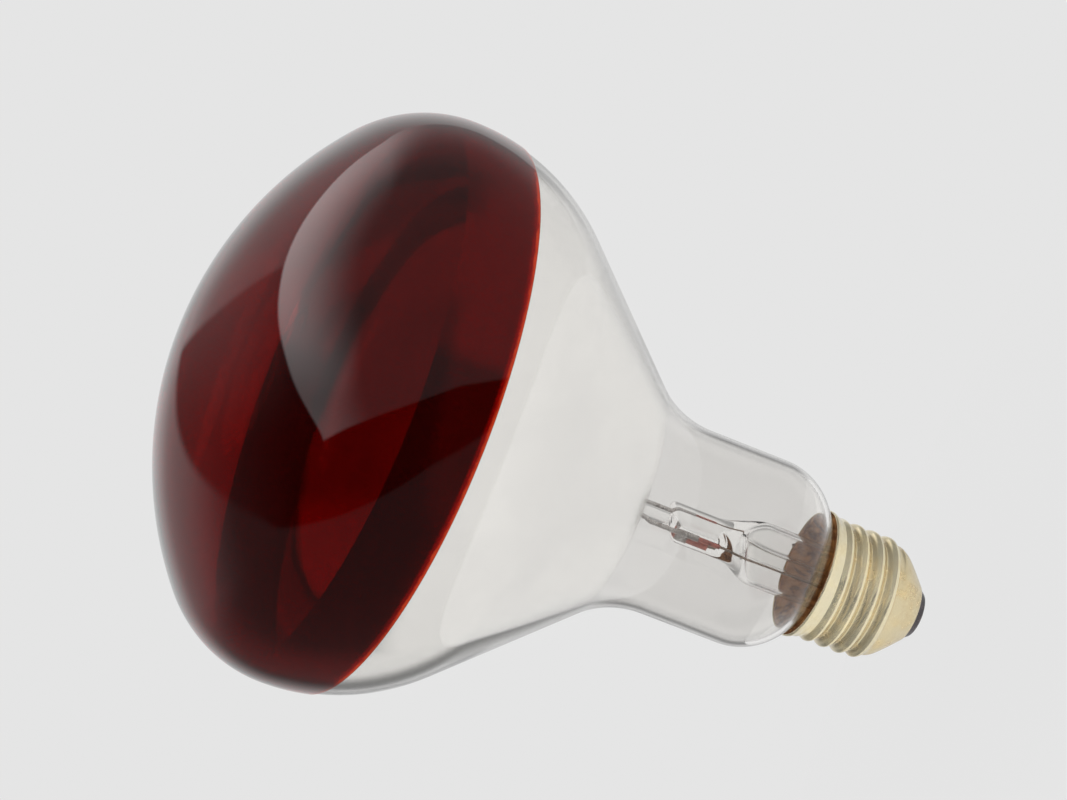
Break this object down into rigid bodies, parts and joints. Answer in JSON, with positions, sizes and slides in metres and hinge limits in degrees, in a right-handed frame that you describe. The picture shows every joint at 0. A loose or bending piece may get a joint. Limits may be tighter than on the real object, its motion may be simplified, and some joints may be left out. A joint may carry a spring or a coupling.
{
  "type": "infrared heat lamp bulb",
  "caption": "Reflector heat lamp bulb with a dark red domed front, mirrored cone, clear neck showing its stem and leads, and a brass Edison screw cap with a dark insulator.",
  "frame": {"origin": "centre of the end contact's outer face, on the lamp axis", "axes": "+Z along the lamp axis from the cap to the red front; +X towards the lead that is soldered to the cap rim"},
  "size_m": [0.1216, 0.1214, 0.1671],
  "materials": {
    "clear_glass": "clear gloss",
    "red_lacquer": "deep clear gloss",
    "mirror_film": "bright, slightly soft",
    "stem_glass": "clear gloss",
    "nickel_wire": "satin",
    "seal_wire": "satin",
    "lead_wire": "dull",
    "tungsten_wire": "satin",
    "pale_brass": "rolled, bright",
    "basing_cement": "matte",
    "dark_insulator": "gloss",
    "contact_brass": "satin",
    "solder": "dull"
  },
  "bodies": {
    "root": {"bulb_glass": "clear_glass", "red_front_coat": "red_lacquer", "mirror_coat": "mirror_film", "stem_glass": "stem_glass", "exhaust_tube": "stem_glass", "support_rod": "stem_glass", "inner_lead_a": "nickel_wire", "inner_lead_b": "nickel_wire", "seal_wire_a": "seal_wire", "seal_wire_b": "seal_wire", "outer_lead_centre": "lead_wire", "outer_lead_side": "lead_wire", "filament": "tungsten_wire", "screw_shell": "pale_brass", "cap_cement": "basing_cement", "cap_insulator": "dark_insulator", "centre_contact": "contact_brass", "contact_solder": "solder", "side_solder": "solder", "filament_hook_1": "tungsten_wire", "filament_hook_2": "tungsten_wire", "filament_hook_3": "tungsten_wire", "filament_hook_4": "tungsten_wire", "filament_hook_5": "tungsten_wire"}
  },
  "joints": []
}
